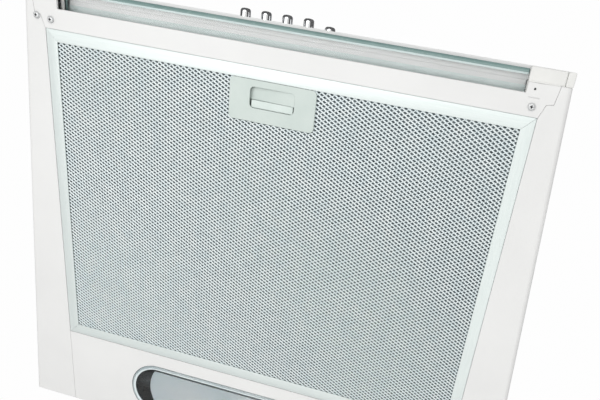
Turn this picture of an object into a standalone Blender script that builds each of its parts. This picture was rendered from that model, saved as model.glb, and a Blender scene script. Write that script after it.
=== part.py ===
"""Under cabinet range hood with a sliding glass visor, a grease filter that swings down, and a centrifugal fan.

Metres, +Z up. The front of the hood faces -Y. The origin is on the flat roof plate, which screws up against the
underside of a cabinet, so the whole hood hangs below z = 0 and only the duct collar and the cable gland rise above.
"""
from math import asin, cos, pi, radians, sin

import bmesh
import bpy
from mathutils import Matrix, Vector

# ---- driving dimensions ----------------------------------------------------------------------------------------
REAR_WIDTH = 0.600          # the body is as wide as a standard cabinet at the wall
FRONT_WIDTH = 0.526         # and tapers in plan towards the front
DEPTH = 0.490
HEIGHT = 0.130
SHEET = 0.0015              # painted steel sheet
GAP = 0.0003                # between pieces that touch
CUT = 0.002                 # how far a cutter runs past the face that it opens

REAR_Y = 0.145
FRONT_Y = REAR_Y - DEPTH
BASE_Z = -HEIGHT            # the plane of the underside
SHOULDER_Y = -0.175         # where the flat roof turns down into the nose
NOSE_HEIGHT = 0.050
BEND_RADIUS = 0.005         # outer radius of the folded side edges

FASCIA_DEPTH = 0.012
FASCIA_BACK_Y = FRONT_Y + FASCIA_DEPTH
FASCIA_HALF = 0.257
FASCIA_BASE_Z = BASE_Z + 0.0155
LIP_HALF_X = 0.2255         # the fascia's lip reaches back over the glass
LIP_REAR_Y = FRONT_Y + 0.0208
LIP_LOW_Z = FASCIA_BASE_Z + 0.0005     # clear of the shoes' tongues when the visor is out
LIP_THICK = 0.0007
BLOCK_BEVEL = 0.0012

# the filter and the latch in it
MESH_HALF_X = 0.230
MESH_FRONT_Y = FRONT_Y + 0.052
MESH_REAR_Y = MESH_FRONT_Y + 0.324
RAIL = 0.0115               # visible width of the filter frame
FRAME_HALF_X = MESH_HALF_X + RAIL
FRAME_FRONT_Y = MESH_FRONT_Y - RAIL
FRAME_REAR_Y = MESH_REAR_Y + RAIL
FRAME_LOW_Z = BASE_Z + 0.0005
FRAME_HIGH_Z = BASE_Z + 0.0095
FRAME_WALL = 0.0015
FRAME_LIP = 0.0010          # thickness of the flanges that hold the mesh
FRAME_TOP_LIP = 0.008
HINGE = (0, FRAME_REAR_Y, FRAME_LOW_Z)
HOOK_X = 0.15
HOOK_HALF_X = 0.012
LATCH_HALF_X = 0.0435
LATCH_DEPTH = 0.039
LATCH_SKIN = 0.0010
LATCH_WALL = 0.0012
LATCH_TUB_HALF_X = 0.030
TUB_Y = (MESH_FRONT_Y + 0.001, MESH_FRONT_Y + 0.037)
SLOT_HALF_X = 0.0225
SLOT_Y = (MESH_FRONT_Y + 0.0065, MESH_FRONT_Y + 0.026)
RECESS_REAR_Y = MESH_FRONT_Y + 0.0187     # the finger space ends here, at the slider's face
RECESS_SLOPE = 0.0713       # its floor rises to the right until it meets the cover
BOLT_Z = (FRAME_LOW_Z + 0.0056, FRAME_LOW_Z + 0.0072)
BOLT_HALF_X = 0.006
SLIDER_HALF_X = 0.021
SLIDER_DEPTH = 0.0070

# the panels of the underside
STRIP_INNER_X = FRAME_HALF_X + GAP        # inner edge of the flat strips beside the filter
PANEL_WIDE_X = 0.254        # the cross panel's ends step out into the strips
PANEL_STEP_X = 0.246
PANEL_FRONT_Y = FRONT_Y + 0.0215
PANEL_END_FRONT_Y = FASCIA_BACK_Y + 0.0006
PANEL_STEP_Y = FRONT_Y + 0.0285
PANEL_REAR_Y = FRAME_FRONT_Y - GAP
LAP = 0.0030                # the cross panel's flange lies this far behind the strips
LAP_THICK = 0.0008
SCREW_X = 0.2345
SCREW_Y = MESH_FRONT_Y - 0.0200
STRIP_SCREW_X = 0.2500
STRIP_SCREW_Y = SCREW_Y - 0.002
SCREW_HOLE_RADIUS = 0.0019
TAB_HOLE = (SCREW_X - 0.0008, PANEL_FRONT_Y - 0.0040)
GROOVE_X = (SCREW_X - 0.0047, SCREW_X + 0.0046)
GROOVE_Y = (SCREW_Y - 0.0077, SCREW_Y - 0.0071)
GROOVE_DEPTH = 0.0004

# the visor
GLASS_HALF_X = 0.226
GLASS_FRONT_Y = FRONT_Y + 0.0025
GLASS_DEPTH = 0.130
GLASS_LOW_Z = BASE_Z + 0.0105
GLASS_THICK = 0.004
SHOE_DEPTH = 0.035

# the push-buttons
BUTTON_COUNT = 5
BUTTON_PITCH = 0.021
BUTTON_Z = BASE_Z + 0.0240
BUTTON_RADIUS = 0.005
BUTTON_PROUD = 0.0075
BUTTON_TRAVEL = 0.004
PRESSED_BUTTON = 5          # the last button is pushed in when the hood is at rest
BLOCK_Y = (FASCIA_BACK_Y + 0.0005, FASCIA_BACK_Y + 0.034)

# the lamp
LENS_HALF_X = 0.157
LENS_CENTRE_Y = 0.096
LENS_HALF_Y = 0.036
LENS_FLANGE = 0.004
TUB_HALF_X = 0.170
TUB_HALF_Y = 0.043
TUB_WALL = 0.0015
TUB_LOW_Z = BASE_Z + 0.0035
TUB_HIGH_Z = BASE_Z + 0.042
BULB_Z = BASE_Z + 0.021
BULB_RADIUS = 0.0125
REFLECTOR_HALF_X = 0.138

# the fan and the outlet
FAN_CENTRE = Vector((0.0, -0.065, 0.0))
FAN_LOW_Z = BASE_Z + 0.046
FAN_HIGH_Z = -SHEET - 0.0006
FAN_WALL = 0.0020
IMPELLER_RADIUS = 0.075
IMPELLER_BORE = 0.062
INLET_RADIUS = 0.064
BLADE_COUNT = 24
BLADE_SLANT = 28            # degrees
SHAFT_RADIUS = 0.004
SPIRAL_START, SPIRAL_END = 70, 360
SPIRAL_SMALL, SPIRAL_LARGE = 0.084, 0.108
MOUTH_Y = 0.030
COLLAR_Y = 0.078
COLLAR_RADIUS = 0.060
COLLAR_WALL = 0.0025
COLLAR_HEIGHT = 0.060
COLLAR_FLANGE_RADIUS = 0.066
FLANGE_TOP_Z = 0.0022
FLAP_Z = 0.004

# the electrics
GLAND_PLACE = (-0.19, 0.105, 0)
GLAND_FLANGE_RADIUS = 0.011
TERMINAL_X = (-0.235, -0.145)
TERMINAL_Y = (0.070, 0.135)
TERMINAL_Z = (BASE_Z + 0.085, -SHEET - 0.0006)
CAPACITOR_PLACE = (0.205, 0.045, -0.018)

# ---- collections and materials ---------------------------------------------------------------------------------
for old in list(bpy.data.objects):
    bpy.data.objects.remove(old)
hood = bpy.data.collections.new("under_cabinet_range_hood")
cutters = bpy.data.collections.new("cutters")
for collection in (hood, cutters):
    bpy.context.scene.collection.children.link(collection)


def material(name, colour, roughness, metallic=0.0, alpha=1.0):
    made = bpy.data.materials.new(name)
    made.use_nodes = True
    shader = made.node_tree.nodes["Principled BSDF"]
    shader.inputs["Base Color"].default_value = (*colour, 1.0)
    shader.inputs["Roughness"].default_value = roughness
    shader.inputs["Metallic"].default_value = metallic
    shader.inputs["Alpha"].default_value = alpha
    made.diffuse_color = (*colour, alpha)
    return made


WHITE_PAINT = material("white_paint", (0.84, 0.84, 0.84), 0.35)
WHITE_PLASTIC = material("white_plastic", (0.80, 0.81, 0.80), 0.40)
ALUMINIUM = material("anodised_aluminium", (0.72, 0.78, 0.78), 0.35, 0.8)
MESH_METAL = material("expanded_aluminium", (0.45, 0.50, 0.52), 0.40, 0.8)
LATCH_PLASTIC = material("latch_plastic", (0.68, 0.74, 0.71), 0.45)
GLASS = material("green_edged_glass", (0.55, 0.78, 0.75), 0.05, 0.0, 0.45)
CHROME = material("chrome", (0.70, 0.70, 0.71), 0.08, 1.0)
LENS_PLASTIC = material("smoky_lens", (0.42, 0.48, 0.52), 0.15, 0.0, 0.5)
REFLECTOR_METAL = material("satin_reflector", (0.62, 0.70, 0.75), 0.30, 0.7)
ZINC_STEEL = material("zinc_steel", (0.60, 0.61, 0.60), 0.40, 0.9)
GREY_PLASTIC = material("grey_plastic", (0.25, 0.26, 0.27), 0.50)
BLACK_PLASTIC = material("black_plastic", (0.04, 0.04, 0.045), 0.45)
BRONZE = material("sintered_bronze", (0.55, 0.38, 0.20), 0.45, 0.9)
OPAL_GLASS = material("opal_glass", (0.85, 0.85, 0.82), 0.30)


# ---- mesh makers: each returns a mesh in world coordinates ---------------------------------------------------------
def mesh_from(bm, name="shape"):
    """Weld the shape, turn its faces outwards and hand it over as a mesh."""
    bmesh.ops.remove_doubles(bm, verts=bm.verts, dist=1e-6)
    bmesh.ops.recalc_face_normals(bm, faces=bm.faces)
    mesh = bpy.data.meshes.new(name)
    bm.to_mesh(mesh)
    bm.free()
    return mesh


def evaluated_mesh(holder):
    """The mesh that an object's curve or modifiers give; the object itself is removed."""
    depsgraph = bpy.context.evaluated_depsgraph_get()
    shape = bpy.data.meshes.new_from_object(holder.evaluated_get(depsgraph))
    bm = bmesh.new()
    bm.from_mesh(shape)
    bpy.data.objects.remove(holder)
    return mesh_from(bm)


def box(x, y, z, bevel=0.0):
    """A box between the (low, high) pairs x, y and z."""
    bm = bmesh.new()
    bmesh.ops.create_cube(bm, size=1.0)
    size = Vector((x[1] - x[0], y[1] - y[0], z[1] - z[0]))
    centre = Vector((x[0] + x[1], y[0] + y[1], z[0] + z[1])) / 2
    bm.transform(Matrix.Translation(centre) @ Matrix.Diagonal((*size, 1.0)))
    if bevel:
        bmesh.ops.bevel(bm, geom=bm.edges[:], offset=bevel, segments=2, affect="EDGES", profile=0.5)
    return mesh_from(bm)


def plate(outline, z):
    """A flat outline of (x, y) points, as thick as the (low, high) pair z."""
    curve = bpy.data.curves.new("outline", "CURVE")
    curve.dimensions = "2D"
    curve.fill_mode = "BOTH"
    curve.extrude = (z[1] - z[0]) / 2
    spline = curve.splines.new("POLY")
    spline.points.add(len(outline) - 1)
    for point, (x, y) in zip(spline.points, outline):
        point.co = (x, y, 0.0, 1.0)
    spline.use_cyclic_u = True
    holder = bpy.data.objects.new("outline", curve)
    hood.objects.link(holder)
    mesh = evaluated_mesh(holder)
    mesh.transform(Matrix.Translation((0, 0, (z[0] + z[1]) / 2)))
    return mesh


def turned(profile, centre=(0, 0, 0), axis=(0, 0, 1), steps=32, closed=False):
    """A turned solid: (radius, height) points from the top, down the outside, placed with its axis along axis."""
    bm = bmesh.new()
    points = [bm.verts.new((radius, 0.0, height)) for radius, height in profile]
    for first, second in zip(points, points[1:]):
        bm.edges.new((first, second))
    if closed:
        bm.edges.new((points[-1], points[0]))
    mesh = bpy.data.meshes.new("profile")
    bm.to_mesh(mesh)
    bm.free()
    holder = bpy.data.objects.new("profile", mesh)
    hood.objects.link(holder)
    screw = holder.modifiers.new("turn", "SCREW")
    screw.steps = screw.render_steps = steps
    screw.use_merge_vertices = True
    screw.merge_threshold = 1e-5
    mesh = evaluated_mesh(holder)
    turn = Vector((0, 0, 1)).rotation_difference(Vector(axis)).to_matrix().to_4x4()
    mesh.transform(Matrix.Translation(centre) @ turn)
    return mesh


def cylinder(radius, low, high, centre=(0, 0, 0), axis=(0, 0, 1), steps=32):
    return turned([(0, high), (radius, high), (radius, low), (0, low)], centre, axis, steps)


def ring(inner, outer, low, high, centre=(0, 0, 0), axis=(0, 0, 1), steps=32):
    loop = [(inner, high), (outer, high), (outer, low), (inner, low)]
    return turned(loop, centre, axis, steps, closed=True)


def sheet(rows, outward):
    """A folded sheet: rows of points lofted into a surface, then thickened away from the outward direction."""
    bm = bmesh.new()
    grid = [[bm.verts.new(point) for point in row] for row in rows]
    for row, following in zip(grid, grid[1:]):
        for i in range(len(row) - 1):
            bm.faces.new((row[i], row[i + 1], following[i + 1], following[i]))
    bm.normal_update()
    first = next(iter(bm.faces))
    if first.normal.dot(Vector(outward)) < 0:
        bmesh.ops.reverse_faces(bm, faces=bm.faces)
    mesh = bpy.data.meshes.new("sheet")
    bm.to_mesh(mesh)
    bm.free()
    holder = bpy.data.objects.new("sheet", mesh)
    hood.objects.link(holder)
    solidify = holder.modifiers.new("thickness", "SOLIDIFY")
    solidify.thickness = SHEET
    solidify.offset = -1.0
    solidify.use_even_offset = True
    return evaluated_mesh(holder)


def merged(meshes, matrices=(Matrix.Identity(4),)):
    """Several solids, or copies of one, kept apart in one mesh."""
    bm = bmesh.new()
    for mesh in meshes:
        for matrix in matrices:
            copy = mesh.copy()
            copy.transform(matrix)
            bm.from_mesh(copy)
            bpy.data.meshes.remove(copy)
    mesh = bpy.data.meshes.new("group")
    bm.to_mesh(mesh)
    bm.free()
    return mesh


def rounded(x, y, radius, steps=6):
    """A rectangle's outline between the (low, high) pairs x and y, with round corners."""
    corners = ((x[1], y[1], 0), (x[0], y[1], 90), (x[0], y[0], 180), (x[1], y[0], 270))
    outline = []
    for corner_x, corner_y, start in corners:
        centre_x = corner_x - radius if corner_x == x[1] else corner_x + radius
        centre_y = corner_y - radius if corner_y == y[1] else corner_y + radius
        for step in range(steps + 1):
            angle = radians(start + 90 * step / steps)
            outline.append((centre_x + radius * cos(angle), centre_y + radius * sin(angle)))
    return outline


# ---- objects -------------------------------------------------------------------------------------------------------
def part(name, mesh, look, origin=(0, 0, 0)):
    """Put a mesh in the hood as a named piece, with its origin at the given point."""
    mesh.name = name
    mesh.transform(Matrix.Translation(-Vector(origin)))
    mesh.materials.clear()
    mesh.materials.append(look)
    mesh.shade_smooth()
    mesh.set_sharp_from_angle(angle=radians(35))
    made = bpy.data.objects.new(name, mesh)
    made.location = origin
    hood.objects.link(made)
    return made


def boolean(piece, tool, operation):
    helper = bpy.data.objects.new(piece.name + "_" + operation.lower(), tool)
    helper.hide_render = True
    helper.display_type = "WIRE"
    cutters.objects.link(helper)
    modifier = piece.modifiers.new(operation.lower(), "BOOLEAN")
    modifier.operation = operation
    modifier.solver = "EXACT"
    modifier.object = helper


def cut(piece, *tools):
    for tool in tools:
        boolean(piece, tool, "DIFFERENCE")


def add(piece, *tools):
    for tool in tools:
        boolean(piece, tool, "UNION")


# ---- the body ------------------------------------------------------------------------------------------------------
def half_width(y):
    """Half the body's width at y, which grows evenly from the front to the wall."""
    share = (y - FRONT_Y) / DEPTH
    return (FRONT_WIDTH + (REAR_WIDTH - FRONT_WIDTH) * share) / 2


def roof_z(y):
    """Height of the roof's outer surface: the nose rises to the shoulder, and is flat from there."""
    rise = HEIGHT - NOSE_HEIGHT
    share = min(1.0, (y - FASCIA_BACK_Y) / (SHOULDER_Y - FASCIA_BACK_Y))
    return BASE_Z + NOSE_HEIGHT + rise * share


def cross_panel_outline(grow=0.0, inset=0.0):
    """The front cross panel in plan, with its stepped ends grown, and its front and rear edges drawn in."""
    inner = GLASS_HALF_X + 0.001 + inset
    front, end_front, rear = PANEL_FRONT_Y + inset, PANEL_END_FRONT_Y + inset, PANEL_REAR_Y - inset
    half = [(0, front), (inner, front), (inner, end_front), (PANEL_WIDE_X + grow, end_front),
            (PANEL_WIDE_X - 0.002 + grow, PANEL_STEP_Y - 0.001 + grow),
            (PANEL_STEP_X + grow, PANEL_STEP_Y + grow), (STRIP_INNER_X + grow, rear)]
    mirrored = [(-x, y) for x, y in reversed(half[1:])]
    return half + mirrored


def build_side_panel(name, side):
    rows = []
    for y in (FASCIA_BACK_Y + GAP, SHOULDER_Y, REAR_Y):
        edge = half_width(y)
        row = [(side * edge, y, roof_z(y))]
        for step in range(7):
            angle = radians(90 * step / 6)
            inset = BEND_RADIUS * (1 - cos(angle))
            row.append((side * (edge - inset), y, BASE_Z + BEND_RADIUS * (1 - sin(angle))))
        row.append((side * STRIP_INNER_X, y, BASE_Z))
        rows.append(row)
    panel = part(name, sheet(rows, (side, 0, 0)), WHITE_PAINT)
    cut(panel, plate(cross_panel_outline(GAP), (BASE_Z - CUT, BASE_Z + SHEET + CUT)))
    if side < 0:
        cut(panel, cylinder(SCREW_HOLE_RADIUS, -CUT, SHEET + CUT, (-STRIP_SCREW_X, STRIP_SCREW_Y, BASE_Z), steps=16))


def build_top_cover():
    rows = []
    for y, z in ((FASCIA_BACK_Y + GAP, roof_z(FASCIA_BACK_Y)), (SHOULDER_Y, 0.0), (REAR_Y, 0.0),
                 (REAR_Y, BASE_Z + BEND_RADIUS)):
        edge = half_width(y) - SHEET - 2 * GAP
        rows.append([(-edge, y, z), (edge, y, z)])
    cover = part("top_cover", sheet(rows, (0, 0, 1)), WHITE_PAINT)
    cut(cover, cylinder(COLLAR_FLANGE_RADIUS + 0.0005, -0.01, 0.01, (0, COLLAR_Y, 0), steps=48))
    holes = [Matrix.Translation((x, y, 0)) for x in (-0.2, 0.2) for y in (-0.13, 0.02)]
    cut(cover, merged([cylinder(0.0028, -0.01, 0.01, steps=16)], holes))
    cut(cover, cylinder(GLAND_FLANGE_RADIUS + 0.0005, -0.01, 0.01, GLAND_PLACE, steps=24))


def build_front():
    half, back = FASCIA_HALF, FASCIA_BACK_Y
    top = BASE_Z + NOSE_HEIGHT
    section = ((FASCIA_BASE_Z, back), (FASCIA_BASE_Z, FRONT_Y), (top, FRONT_Y), (top, back))
    rows = [[(-half, y, z), (half, y, z)] for z, y in section]
    fascia = part("front_fascia", sheet(rows, (0, 0, -1)), WHITE_PAINT)
    add(fascia, box((-LIP_HALF_X, LIP_HALF_X), (back - 0.002, LIP_REAR_Y), (LIP_LOW_Z, LIP_LOW_Z + LIP_THICK)))
    holes = [Matrix.Translation((button_x(i), 0, 0)) for i in range(1, BUTTON_COUNT + 1)]
    hole = cylinder(BUTTON_RADIUS + 0.0005, -0.006, 0.006, (0, FRONT_Y, BUTTON_Z), (0, 1, 0), 24)
    cut(fascia, merged([hole], holes))
    for name, side in (("left", -1), ("right", 1)):
        inner, outer = GLASS_HALF_X + 0.0005, FASCIA_HALF
        x = sorted((side * inner, side * outer))
        low_block = box(x, (FRONT_Y, back), (BASE_Z + 0.0005, FASCIA_BASE_Z - GAP), BLOCK_BEVEL)
        part("corner_block_" + name, low_block, WHITE_PLASTIC)
        outline = [(side * (outer + GAP), FRONT_Y), (side * half_width(FRONT_Y), FRONT_Y),
                   (side * half_width(back), back), (side * (outer + GAP), back)]
        part("end_cap_" + name, plate(outline, (BASE_Z + 0.0005, top)), WHITE_PLASTIC)


def button_x(number):
    return (number - (BUTTON_COUNT + 1) / 2) * BUTTON_PITCH


def build_cross_panel():
    panel = part("front_cross_panel", plate(cross_panel_outline(), (BASE_Z, BASE_Z + SHEET)), WHITE_PAINT)
    stiffener_y = (PANEL_FRONT_Y, PANEL_FRONT_Y + SHEET)
    stiffener_x = (-GLASS_HALF_X, GLASS_HALF_X)
    add(panel, box(stiffener_x, stiffener_y, (BASE_Z + SHEET / 2, BASE_Z + 0.008)))
    lap_z = BASE_Z + SHEET + GAP
    add(panel, plate(cross_panel_outline(-0.001, 0.001), (BASE_Z + SHEET / 2, lap_z + LAP_THICK / 2)))
    add(panel, plate(cross_panel_outline(LAP, 0.0005), (lap_z, lap_z + LAP_THICK)))
    places = ((-SCREW_X, SCREW_Y), (SCREW_X, SCREW_Y), (-STRIP_SCREW_X, STRIP_SCREW_Y))
    cut(panel, merged([cylinder(SCREW_HOLE_RADIUS, -0.01, 0.01, (0, 0, BASE_Z), steps=16)],
                      [Matrix.Translation((*place, 0)) for place in places]))
    cut(panel, cylinder(0.0010, -0.01, 0.01, (*TAB_HOLE, BASE_Z), steps=16))
    cut(panel, box(GROOVE_X, GROOVE_Y, (BASE_Z - CUT, BASE_Z + GROOVE_DEPTH)))


def build_lamp_panel():
    half, y = STRIP_INNER_X - GAP, (FRAME_REAR_Y + 0.0005, REAR_Y)
    panel = part("lamp_panel", box((-half, half), y, (BASE_Z, BASE_Z + SHEET)), WHITE_PAINT)
    opening = rounded((-LENS_HALF_X, LENS_HALF_X), (LENS_CENTRE_Y - LENS_HALF_Y, LENS_CENTRE_Y + LENS_HALF_Y),
                      LENS_HALF_Y - 0.0001, 12)
    cut(panel, plate(opening, (BASE_Z - CUT, BASE_Z + SHEET + CUT)))


# ---- the lamp ------------------------------------------------------------------------------------------------------
def lens_outline(half_x, half_y):
    y = (LENS_CENTRE_Y - half_y, LENS_CENTRE_Y + half_y)
    return rounded((-half_x, half_x), y, half_y - 0.0001, 12)


def build_lamp():
    low = BASE_Z - 0.0010
    lens = part("lamp_lens", plate(lens_outline(LENS_HALF_X - 0.0004, LENS_HALF_Y - 0.0004),
                                   (low, BASE_Z + 0.0022)), LENS_PLASTIC)
    add(lens, plate(lens_outline(LENS_HALF_X + LENS_FLANGE, LENS_HALF_Y + LENS_FLANGE),
                    (BASE_Z + 0.0019, TUB_LOW_Z - GAP)))
    y = (LENS_CENTRE_Y - TUB_HALF_Y, LENS_CENTRE_Y + TUB_HALF_Y)
    tub = part("lamp_tub", box((-TUB_HALF_X, TUB_HALF_X), y, (TUB_LOW_Z, TUB_HIGH_Z)), BLACK_PLASTIC)
    cut(tub, box((-TUB_HALF_X + TUB_WALL, TUB_HALF_X - TUB_WALL), (y[0] + TUB_WALL, y[1] - TUB_WALL),
                 (TUB_LOW_Z - CUT, TUB_HIGH_Z - TUB_WALL)))
    rows = []
    for step in range(13):
        angle = pi * step / 12
        trough_y = LENS_CENTRE_Y - 0.038 * cos(angle)
        trough_z = TUB_LOW_Z + 0.008 + 0.026 * sin(angle)
        rows.append([(-REFLECTOR_HALF_X, trough_y, trough_z), (REFLECTOR_HALF_X, trough_y, trough_z)])
    part("lamp_reflector", sheet(rows, (0, -1, 0)), REFLECTOR_METAL)
    for name, side in (("left", -1), ("right", 1)):
        place = (side * (TUB_HALF_X - 0.0019), LENS_CENTRE_Y, BULB_Z)
        inward = (-side, 0, 0)
        socket = [(0, 0.026), (0.0068, 0.026), (0.0068, 0.030), (0.0125, 0.030), (0.0125, 0.004), (0.015, 0.004),
                  (0.015, 0.0), (0, 0.0)]
        part("lamp_holder_" + name, turned(socket, place, inward, 24), BLACK_PLASTIC)
        bulb = [(0, 0.112)]
        for step in range(1, 6):
            angle = radians(90 * step / 5)
            bulb.append((BULB_RADIUS * sin(angle), bulb[0][1] - BULB_RADIUS * (1 - cos(angle))))
        bulb += [(BULB_RADIUS, 0.045), (0.0065, 0.034), (0.0065, 0.0263), (0, 0.0263)]
        part("bulb_" + name, turned(bulb, place, inward, 24), OPAL_GLASS)


# ---- the glass visor -----------------------------------------------------------------------------------------------
def build_visor():
    y = (GLASS_FRONT_Y, GLASS_FRONT_Y + GLASS_DEPTH)
    part("glass_visor", box((-GLASS_HALF_X, GLASS_HALF_X), y, (GLASS_LOW_Z, GLASS_LOW_Z + GLASS_THICK), 0.0005),
         GLASS)
    shoe_y = (y[1] - SHOE_DEPTH, y[1])
    for name, side in (("left", -1), ("right", 1)):
        block_x = sorted((side * (GLASS_HALF_X + GAP), side * 0.2335))
        shoe = part("glass_shoe_" + name, box(block_x, shoe_y, (BASE_Z + 0.0113, BASE_Z + 0.0157)), GREY_PLASTIC)
        tongue_x = sorted((side * 0.216, side * 0.2265))
        add(shoe, box(tongue_x, (shoe_y[0] + 0.001, shoe_y[1] - 0.001), (BASE_Z + 0.0149, BASE_Z + 0.0156)))
        rail_x = sorted((side * 0.2275, side * 0.2355))
        rail_y = (FASCIA_BACK_Y + GAP, y[1] + 0.012)
        rail = part("glass_rail_" + name, box(rail_x, rail_y, (BASE_Z + 0.0100, BASE_Z + 0.0172)), ZINC_STEEL)
        groove_x = sorted((side * 0.220, side * 0.2342))
        cut(rail, box(groove_x, (rail_y[0] - CUT, rail_y[1] - 0.002), (BASE_Z + 0.0110, BASE_Z + 0.0162)))


# ---- the push-buttons ----------------------------------------------------------------------------------------------
def build_buttons():
    block = part("switch_block", box((-0.062, 0.062), BLOCK_Y, (BASE_Z + 0.0173, BASE_Z + 0.0335), 0.001),
                 BLACK_PLASTIC)
    wells = [Matrix.Translation((button_x(i), 0, 0)) for i in range(1, BUTTON_COUNT + 1)]
    well = cylinder(0.0030, -CUT, 0.020, (0, BLOCK_Y[0], BUTTON_Z), (0, 1, 0), 16)
    cut(block, merged([well], wells))
    for number in range(1, BUTTON_COUNT + 1):
        proud = BUTTON_PROUD - (BUTTON_TRAVEL if number == PRESSED_BUTTON else 0.0)
        tip = (button_x(number), FRONT_Y - proud, BUTTON_Z)
        profile = [(0, 0), (0.0042, 0), (BUTTON_RADIUS, 0.0008), (BUTTON_RADIUS, 0.014), (0.0025, 0.014),
                   (0.0025, 0.026), (0, 0.026)]
        part("button_%d" % number, turned(profile, tip, (0, 1, 0), 24), CHROME, tip)


# ---- the grease filter ---------------------------------------------------------------------------------------------
def build_filter():
    frame = part("filter_frame", box((-FRAME_HALF_X, FRAME_HALF_X), (FRAME_FRONT_Y, FRAME_REAR_Y),
                                     (FRAME_LOW_Z, FRAME_HIGH_Z)), ALUMINIUM, HINGE)
    pocket_x = (-FRAME_HALF_X + FRAME_WALL, FRAME_HALF_X - FRAME_WALL)
    pocket_y = (FRAME_FRONT_Y + FRAME_WALL, FRAME_REAR_Y - FRAME_WALL)
    inside_z = (FRAME_LOW_Z + FRAME_LIP, FRAME_HIGH_Z - FRAME_LIP)
    cut(frame, box(pocket_x, pocket_y, inside_z))
    cut(frame, box((-MESH_HALF_X, MESH_HALF_X), (MESH_FRONT_Y, MESH_REAR_Y), (FRAME_LOW_Z - CUT, FRAME_LOW_Z + CUT)))
    cut(frame, box((-FRAME_HALF_X + FRAME_TOP_LIP, FRAME_HALF_X - FRAME_TOP_LIP),
                   (FRAME_FRONT_Y + FRAME_TOP_LIP, FRAME_REAR_Y - FRAME_TOP_LIP),
                   (FRAME_HIGH_Z - CUT, FRAME_HIGH_Z + CUT)))
    cut(frame, bolt_hole(FRAME_FRONT_Y - CUT, FRAME_FRONT_Y + CUT))
    fill_x = (pocket_x[0] + GAP, pocket_x[1] - GAP)
    fill_y = (pocket_y[0] + GAP, pocket_y[1] - GAP)
    layers = (("filter_front_mesh", inside_z[0] + GAP, 0.0005),
              ("filter_core", inside_z[0] + 0.0025, 0.0015),
              ("filter_back_mesh", inside_z[1] - GAP - 0.0005, 0.0005))
    for name, low, thick in layers:
        layer = part(name, box(fill_x, fill_y, (low, low + thick)), MESH_METAL, HINGE)
        clear = 0.0004
        cut(layer, box((-LATCH_TUB_HALF_X - clear, LATCH_TUB_HALF_X + clear), (pocket_y[0] - CUT, TUB_Y[1] + clear),
                       (low - CUT, low + thick + CUT)))
    for name, x in (("left", -HOOK_X), ("right", HOOK_X)):
        hook = box((x - HOOK_HALF_X, x + HOOK_HALF_X), (FRAME_REAR_Y + GAP, FRAME_REAR_Y + 0.0075),
                   (BASE_Z + 0.0040, BASE_Z + 0.0055))
        part("filter_hook_" + name, hook, ALUMINIUM, HINGE)


def bolt_hole(front_y, rear_y):
    """A cutter for the hole that the latch bolt slides in."""
    clear = 0.0005
    return box((-BOLT_HALF_X - clear, BOLT_HALF_X + clear), (front_y, rear_y), (BOLT_Z[0] - clear, BOLT_Z[1] + clear))


def build_latch():
    outline = rounded((-LATCH_HALF_X, LATCH_HALF_X), (MESH_FRONT_Y + GAP, MESH_FRONT_Y + LATCH_DEPTH), 0.0045)
    cover_z = (FRAME_LOW_Z, FRAME_LOW_Z + LATCH_SKIN)
    housing = part("latch_housing", plate(outline, cover_z), LATCH_PLASTIC, HINGE)
    tub_z = (cover_z[1] - 0.0003, FRAME_HIGH_Z - 0.0005)
    add(housing, box((-LATCH_TUB_HALF_X, LATCH_TUB_HALF_X), TUB_Y, tub_z))
    inside_x = (-LATCH_TUB_HALF_X + LATCH_WALL, LATCH_TUB_HALF_X - LATCH_WALL)
    inside_y = (TUB_Y[0] + LATCH_WALL, TUB_Y[1] - LATCH_WALL)
    cut(housing, box(inside_x, inside_y, (cover_z[1], tub_z[1] - 0.0010)))
    cut(housing, plate(rounded((-SLOT_HALF_X, SLOT_HALF_X), SLOT_Y, 0.004), (cover_z[0] - CUT, cover_z[1] + CUT)))
    cut(housing, bolt_hole(TUB_Y[0] - CUT, inside_y[0] + CUT))
    add(housing, recess_floor(cover_z))
    slide_y = (RECESS_REAR_Y, RECESS_REAR_Y + SLIDER_DEPTH)
    slider = part("latch_slider", box((-SLIDER_HALF_X, SLIDER_HALF_X), slide_y, (cover_z[1] + 0.0004, BOLT_Z[1])),
                  LATCH_PLASTIC, (0, FRAME_FRONT_Y, BOLT_Z[0]))
    add(slider, box((-BOLT_HALF_X, BOLT_HALF_X), (FRAME_FRONT_Y + GAP, slide_y[0] + 0.003),
                    (BOLT_Z[0], BOLT_Z[1] - 0.0002)))
    part("latch_spring", coil((0.0, slide_y[1] + GAP), inside_y[1] - GAP), ZINC_STEEL)


def recess_floor(cover_z):
    """The sloping floor of the finger recess, from the housing's left wall to the cover beyond the slot."""
    left, right = -LATCH_TUB_HALF_X + 0.0005, SLOT_HALF_X + 0.0020
    low_right = cover_z[0] + 0.00015
    low_left = low_right + RECESS_SLOPE * (right - left)
    thick = 0.0007
    bm = bmesh.new()
    ends = []
    for y in (TUB_Y[0] + 0.0005, RECESS_REAR_Y - GAP):
        corners = ((left, low_left), (right, low_right), (right, low_right + thick), (left, low_left + thick))
        ends.append([bm.verts.new((x, y, z)) for x, z in corners])
    bm.faces.new(ends[0])
    bm.faces.new(reversed(ends[1]))
    for i in range(4):
        bm.faces.new((ends[0][i], ends[1][i], ends[1][i - 3], ends[0][i - 3]))
    return mesh_from(bm)


def coil(start, end_y):
    """A small compression spring along Y, between the slider and the back of the latch housing."""
    x, start_y = start
    turns, per_turn, radius, wire = 4, 10, 0.0018, 0.0003
    centre_z = FRAME_LOW_Z + 0.0045
    count = turns * per_turn
    points = []
    for step in range(count + 1):
        angle = 2 * pi * step / per_turn
        y = start_y + wire + (end_y - start_y - 2 * wire) * step / count
        points.append((x + radius * cos(angle), y, centre_z + radius * sin(angle)))
    return tube(points, wire, 1)


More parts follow.
